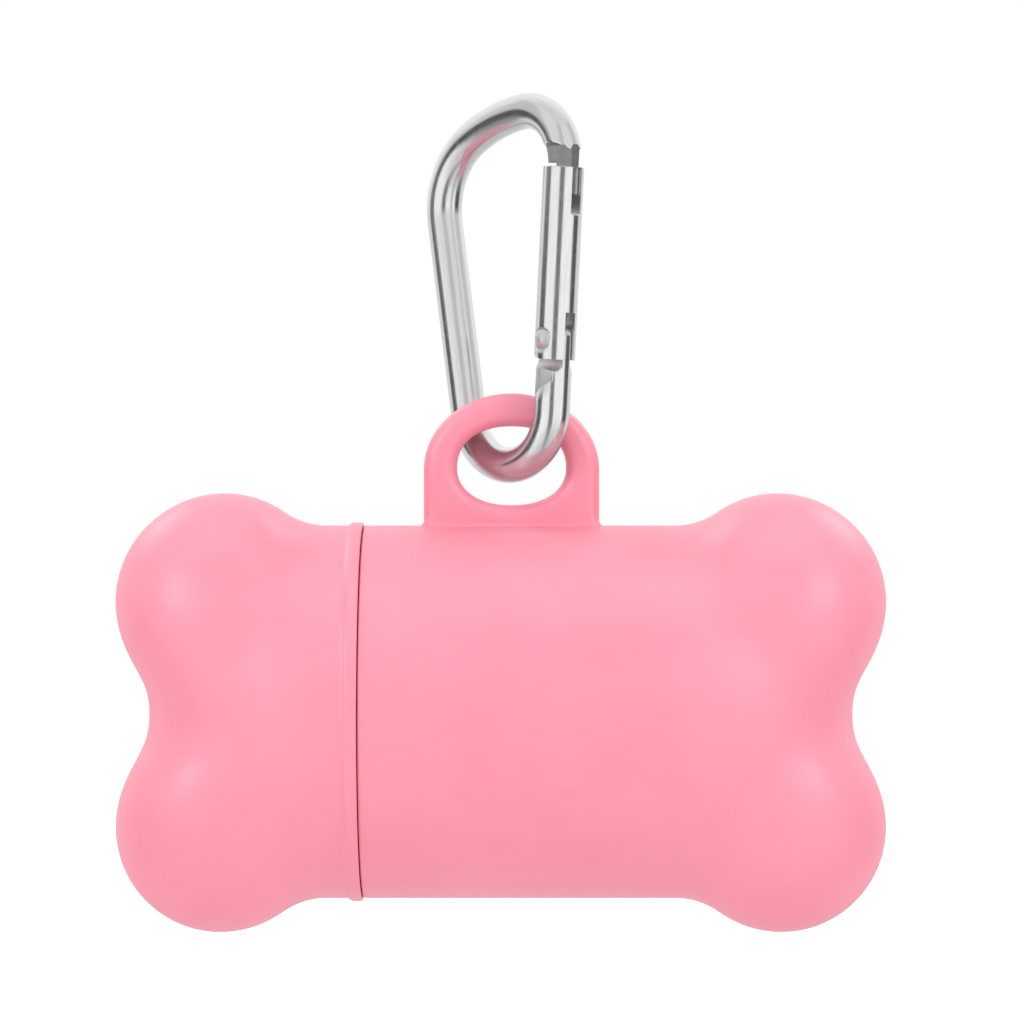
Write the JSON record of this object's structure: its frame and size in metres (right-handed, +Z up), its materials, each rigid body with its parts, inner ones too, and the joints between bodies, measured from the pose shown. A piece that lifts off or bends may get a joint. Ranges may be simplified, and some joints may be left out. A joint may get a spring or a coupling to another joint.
{
  "type": "dog waste bag dispenser",
  "caption": "Bone-shaped pull-apart case with a bag roll inside and a slot at the back, hanging by its moulded tab from a small spring-gate carabiner.",
  "frame": {"origin": "inside of the carabiner's top bend, where the dispenser hangs", "axes": "+Z up, +X along the case away from the cap, -Y towards the front face"},
  "size_m": [0.0858, 0.0427, 0.0944],
  "materials": {
    "bright_aluminium": "polished, bright",
    "pin_steel": "drawn wire",
    "pink_case": "soft satin moulding",
    "core_board": "plain spiral-wound board",
    "bag_film": "thin wound film"
  },
  "bodies": {
    "carabiner": {"carabiner_frame": "bright_aluminium"},
    "gate": {"carabiner_gate": "bright_aluminium", "gate_rivet": "bright_aluminium", "gate_spring": "pin_steel"},
    "plunger": {"gate_plunger": "pin_steel"},
    "case": {"main_body": "pink_case"},
    "cap": {"end_cap": "pink_case"},
    "roll": {"roll_core": "core_board", "bag_roll": "bag_film"}
  },
  "joints": [
    {"name": "case_swing", "type": "hinge", "parent": "carabiner", "child": "case", "pos_m": [-0.00213, 0.00233, -0.03315], "axis": [1, 0, 0], "range_deg": [-40, 34]},
    {"name": "cap_pull", "type": "slide", "parent": "case", "child": "cap", "axis": [-1, 0, 0], "range_m": [0, 0.05]},
    {"name": "roll_spin", "type": "hinge", "parent": "case", "child": "roll", "pos_m": [-0.00332, 0.00233, -0.06755], "axis": [1, 0, 0], "continuous": true},
    {"name": "gate_swing", "type": "hinge", "parent": "carabiner", "child": "gate", "pos_m": [0.00277, -0.00277, -0.02395], "axis": [-0.7071, -0.7071, 0], "range_deg": [0, 30], "stiffness_Nm_per_rad": 0.008, "springref_deg": -17.19},
    {"name": "plunger_slide", "type": "slide", "parent": "gate", "child": "plunger", "axis": [0.0478, -0.0478, 0.9977], "range_m": [0, 0.0007], "stiffness_N_per_m": 0.08, "springref_m": 0.0109, "deforming": ["gate_spring"]}
  ],
  "couplings": [
    {"joint": "plunger_slide", "follows": "gate_swing", "m_per_rad": 0.001}
  ]
}
